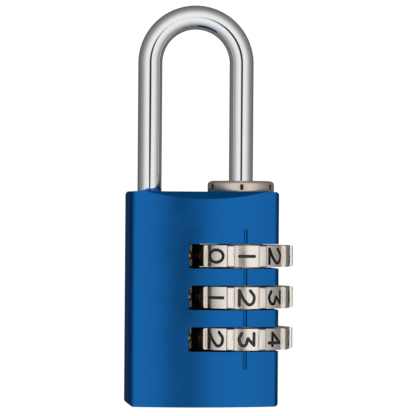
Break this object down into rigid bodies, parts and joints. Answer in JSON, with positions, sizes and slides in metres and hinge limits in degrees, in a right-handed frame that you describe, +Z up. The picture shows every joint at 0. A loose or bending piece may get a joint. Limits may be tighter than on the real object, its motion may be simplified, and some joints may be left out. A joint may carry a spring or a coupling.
{
  "type": "combination padlock",
  "caption": "Small solid-body combination padlock with a round shackle and number dials at its right edge, shown locked.",
  "frame": {"origin": "middle of the body's underside", "axes": "+Z up along the shackle's legs, -Y towards the front with the index line, +X towards the dials' side"},
  "size_m": [0.0225, 0.0138, 0.0537],
  "materials": {
    "blue_anodised_body": "satin blue anodised",
    "chromed_shackle": "polished chrome plate on hardened steel",
    "warm_nickel": "warm-toned satin nickel plate on brass",
    "brass_parts": "turned brass",
    "spring_steel": "bare spring steel"
  },
  "bodies": {
    "lock_body": {"body": "blue_anodised_body", "bottom_plug": "brass_parts", "shackle_collar": "warm_nickel", "stop_pin": "spring_steel", "click_spring_1": "spring_steel", "click_spring_2": "spring_steel", "click_spring_3": "spring_steel", "reset_spring": "spring_steel", "lift_spring": "spring_steel"},
    "shackle": {"shackle": "chromed_shackle"},
    "dial_1": {"number_dial_1": "warm_nickel"},
    "dial_2": {"number_dial_2": "warm_nickel"},
    "dial_3": {"number_dial_3": "warm_nickel"},
    "sleeve_1": {"code_sleeve_1": "brass_parts"},
    "sleeve_2": {"code_sleeve_2": "brass_parts"},
    "sleeve_3": {"code_sleeve_3": "brass_parts"},
    "ball_1": {"click_ball_1": "spring_steel"},
    "ball_2": {"click_ball_2": "spring_steel"},
    "ball_3": {"click_ball_3": "spring_steel"},
    "reset_washer": {"reset_washer": "brass_parts"}
  },
  "joints": [
    {"name": "shackle_lift", "type": "slide", "parent": "lock_body", "child": "shackle", "axis": [0, 0, 1], "range_m": [0, 0.005], "deforming": ["lift_spring"]},
    {"name": "dial_1_turn", "type": "hinge", "parent": "lock_body", "child": "dial_1", "pos_m": [0.0053, 0, 0.02009], "axis": [0, 0, 1], "continuous": true},
    {"name": "dial_2_turn", "type": "hinge", "parent": "lock_body", "child": "dial_2", "pos_m": [0.0053, 0, 0.01457], "axis": [0, 0, 1], "continuous": true},
    {"name": "dial_3_turn", "type": "hinge", "parent": "lock_body", "child": "dial_3", "pos_m": [0.0053, 0, 0.00905], "axis": [0, 0, 1], "continuous": true},
    {"name": "sleeve_1_reset", "type": "slide", "parent": "dial_1", "child": "sleeve_1", "axis": [0, 0, -1], "range_m": [0, 0.0008], "stiffness_N_per_m": 400, "springref_m": -0.001, "deforming": ["reset_spring"]},
    {"name": "sleeve_2_reset", "type": "slide", "parent": "dial_2", "child": "sleeve_2", "axis": [0, 0, -1], "range_m": [0, 0.0008]},
    {"name": "sleeve_3_reset", "type": "slide", "parent": "dial_3", "child": "sleeve_3", "axis": [0, 0, -1], "range_m": [0, 0.0008]},
    {"name": "washer_reset", "type": "slide", "parent": "lock_body", "child": "reset_washer", "axis": [0, 0, -1], "range_m": [0, 0.0008]},
    {"name": "ball_1_press", "type": "slide", "parent": "lock_body", "child": "ball_1", "axis": [-1, 0, 0], "range_m": [0, 0.00045], "stiffness_N_per_m": 200, "springref_m": -0.0005, "deforming": ["click_spring_1"]},
    {"name": "ball_2_press", "type": "slide", "parent": "lock_body", "child": "ball_2", "axis": [-1, 0, 0], "range_m": [0, 0.00045], "stiffness_N_per_m": 200, "springref_m": -0.0005, "deforming": ["click_spring_2"]},
    {"name": "ball_3_press", "type": "slide", "parent": "lock_body", "child": "ball_3", "axis": [-1, 0, 0], "range_m": [0, 0.00045], "stiffness_N_per_m": 200, "springref_m": -0.0005, "deforming": ["click_spring_3"]}
  ],
  "couplings": [
    {"joint": "sleeve_2_reset", "follows": "sleeve_1_reset", "ratio": 1},
    {"joint": "sleeve_3_reset", "follows": "sleeve_1_reset", "ratio": 1},
    {"joint": "washer_reset", "follows": "sleeve_1_reset", "ratio": 1}
  ]
}
